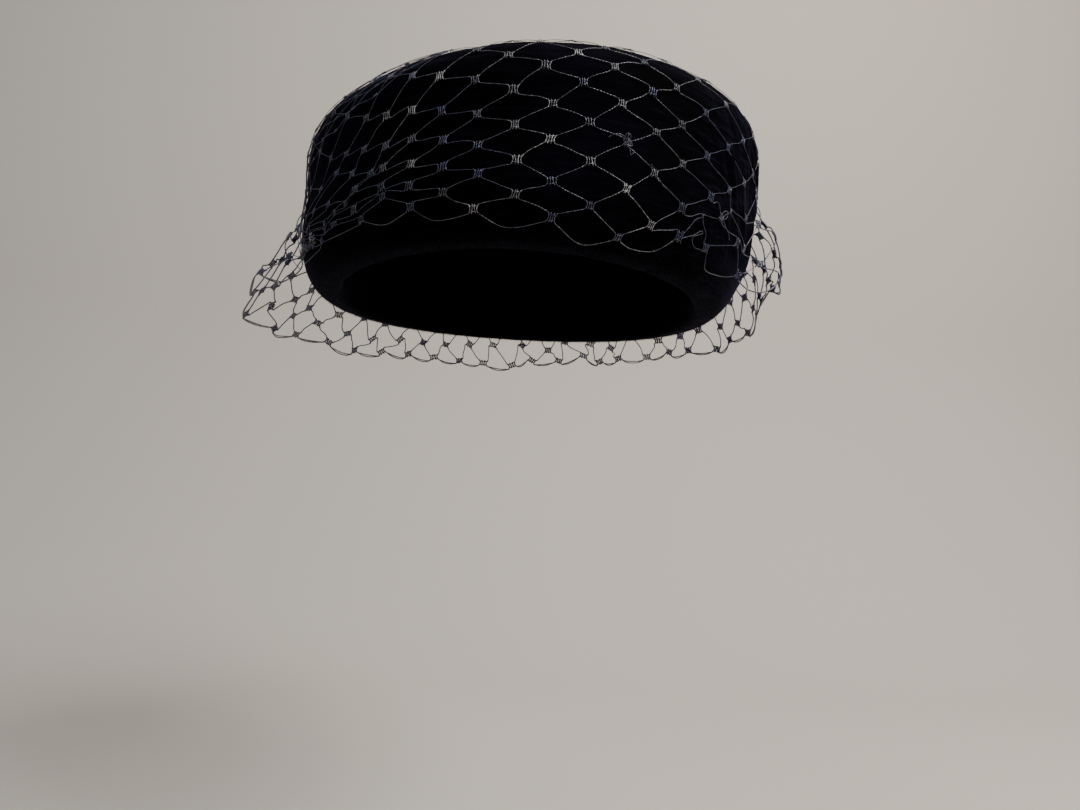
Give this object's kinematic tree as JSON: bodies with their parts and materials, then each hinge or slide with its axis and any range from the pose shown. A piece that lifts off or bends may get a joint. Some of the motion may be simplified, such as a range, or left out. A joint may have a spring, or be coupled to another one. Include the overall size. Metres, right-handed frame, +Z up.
{
  "type": "velvet hat",
  "caption": "Puffed velvet pillbox hat with a rolled lower edge, an open head hollow and a coarse net veil that lies over the crown and falls loose behind.",
  "frame": {"origin": "centre of the head opening, in the plane of the hat's lower edge", "axes": "+Z up through the tip of the crown, -Y is the front of the hat, +X is the wearer's left"},
  "size_m": [0.2504, 0.2394, 0.1002],
  "materials": {
    "velvet": "deep matt pile, blue-violet where the light grazes it",
    "netting": "dull stiff thread"
  },
  "bodies": {
    "root": {"crown": "velvet", "veil": "netting"}
  },
  "joints": []
}
